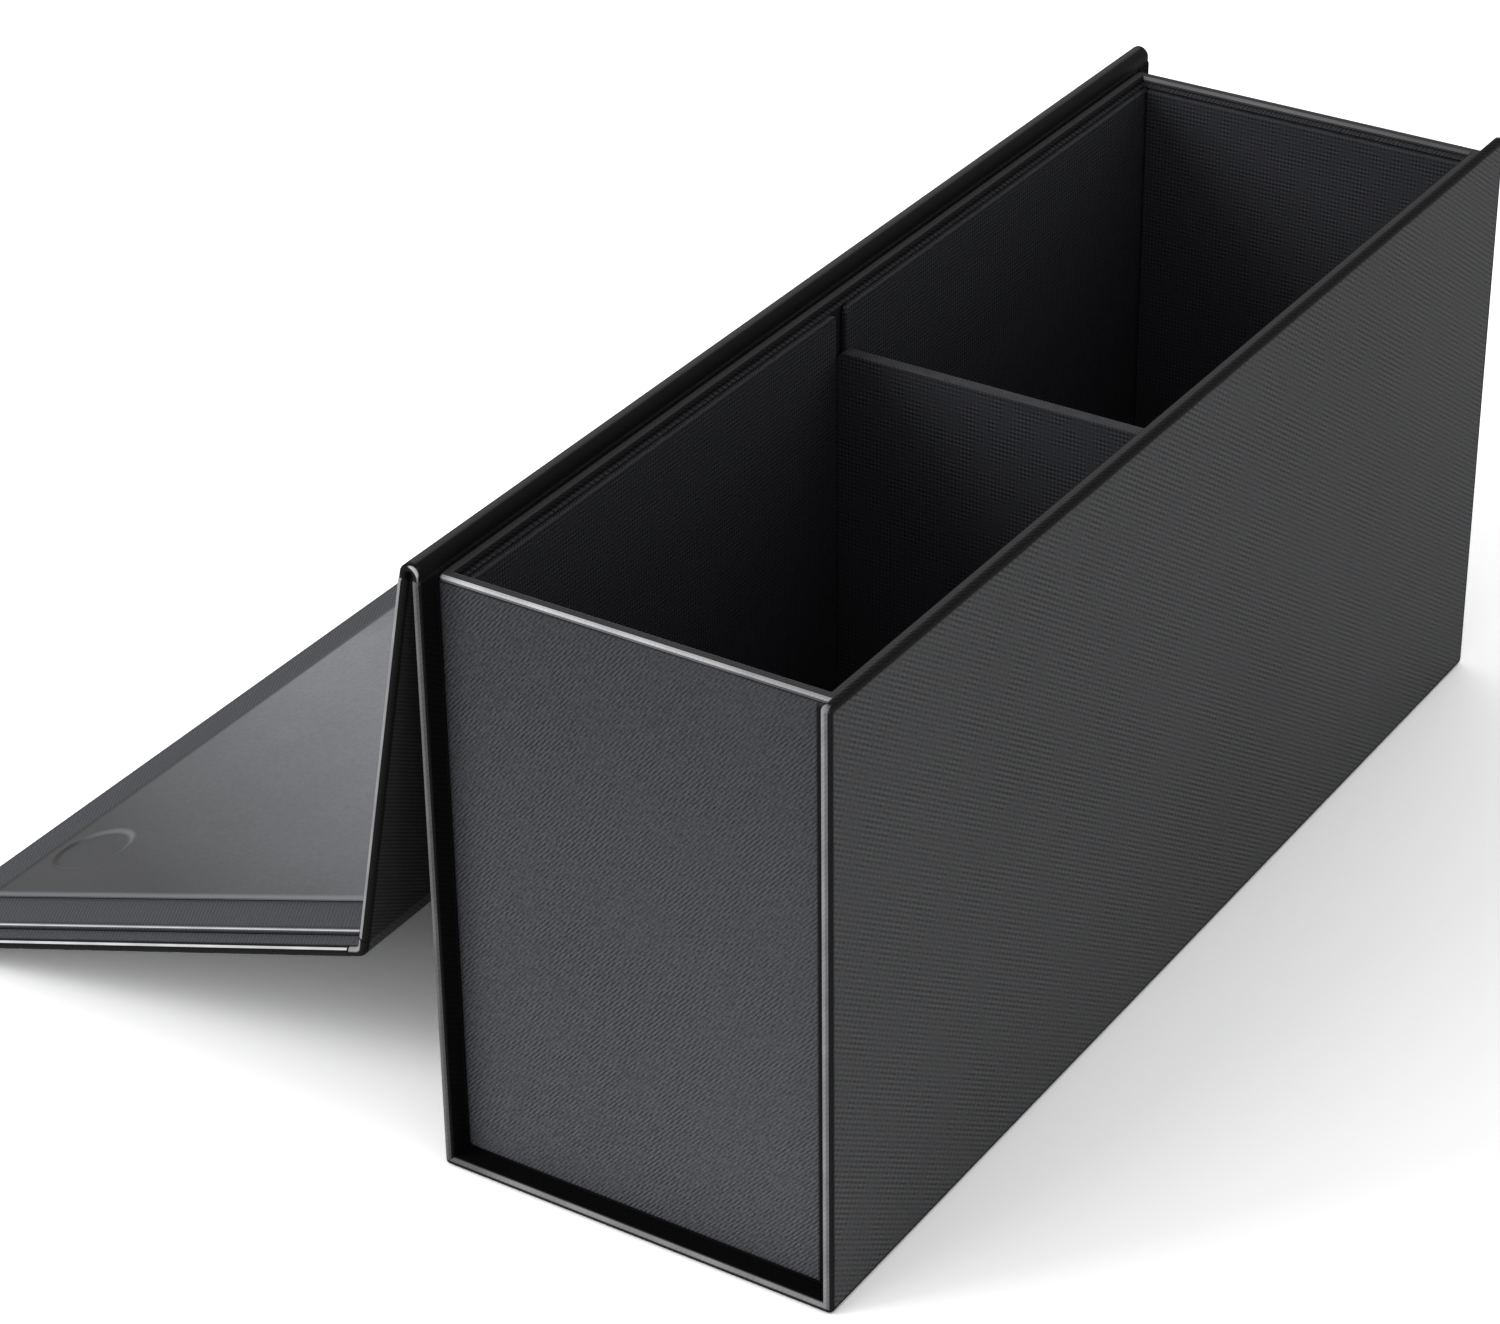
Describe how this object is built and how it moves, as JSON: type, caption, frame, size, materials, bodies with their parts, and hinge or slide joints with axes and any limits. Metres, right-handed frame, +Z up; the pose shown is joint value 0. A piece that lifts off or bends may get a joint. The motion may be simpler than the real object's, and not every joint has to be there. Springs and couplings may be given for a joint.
{
  "type": "storage case",
  "caption": "Long upright storage case in dark cloth: a lined tray with a divider inside a book-style cover whose lid folds back and ends in a padded magnetic flap.",
  "frame": {"origin": "centre of the underside of the case", "axes": "+X to the front panel that the flap closes against, +Y along the case, +Z up; the case stands open, with the lid behind the back panel"},
  "size_m": [0.2654, 0.32, 0.1543],
  "materials": {
    "cover_leathercloth": "matte dark grey leather-look cloth with a fine woven emboss",
    "lining_paper": "matte near-black lining paper",
    "liner_satin": "satin dark grey liner paper",
    "grey_board": "bare grey board, hidden inside the skins",
    "steel": "plain steel, hidden",
    "nickel": "nickel plated, hidden under the liner"
  },
  "bodies": {
    "case": {"cover_wrap": "cover_leathercloth", "cover_board_front": "grey_board", "cover_board_base": "grey_board", "cover_board_back": "grey_board", "tray_wrap": "cover_leathercloth", "tray_board_base": "grey_board", "tray_board_front": "grey_board", "tray_board_back": "grey_board", "tray_board_near": "grey_board", "tray_board_far": "grey_board", "lining_floor_near": "lining_paper", "lining_floor_far": "lining_paper", "lining_front_near": "lining_paper", "lining_front_far": "lining_paper", "lining_back_near": "lining_paper", "lining_back_far": "lining_paper", "lining_end_near": "lining_paper", "lining_end_far": "lining_paper", "catch_disc_near": "steel", "catch_disc_far": "steel", "lid_hinge_cloth": "cover_leathercloth"},
    "lid": {"lid_board": "grey_board", "lid_wrap": "cover_leathercloth", "lid_liner": "liner_satin"},
    "flap": {"flap_board": "grey_board", "flap_wrap": "cover_leathercloth", "flap_pad": "grey_board", "flap_pad_wrap": "cover_leathercloth", "flap_liner": "liner_satin", "flap_magnet_near": "nickel", "flap_magnet_far": "nickel", "flap_hinge_cloth": "cover_leathercloth"},
    "divider": {"divider_board": "grey_board", "divider_wrap": "lining_paper"}
  },
  "joints": [
    {"name": "lid_hinge", "type": "hinge", "parent": "case", "child": "lid", "pos_m": [-0.0515, 0, 0.1546], "axis": [0, -1, 0], "range_deg": [-260, 10], "deforming": ["lid_hinge_cloth"]},
    {"name": "flap_hinge", "type": "hinge", "parent": "lid", "child": "flap", "pos_m": [-0.07009, 0, 0.04918], "axis": [0, -1, 0], "range_deg": [-28.8, 61.1], "deforming": ["flap_hinge_cloth"]},
    {"name": "divider_lift", "type": "slide", "parent": "case", "child": "divider", "axis": [0, 0, 1], "range_m": [0, 0.0135]}
  ]
}
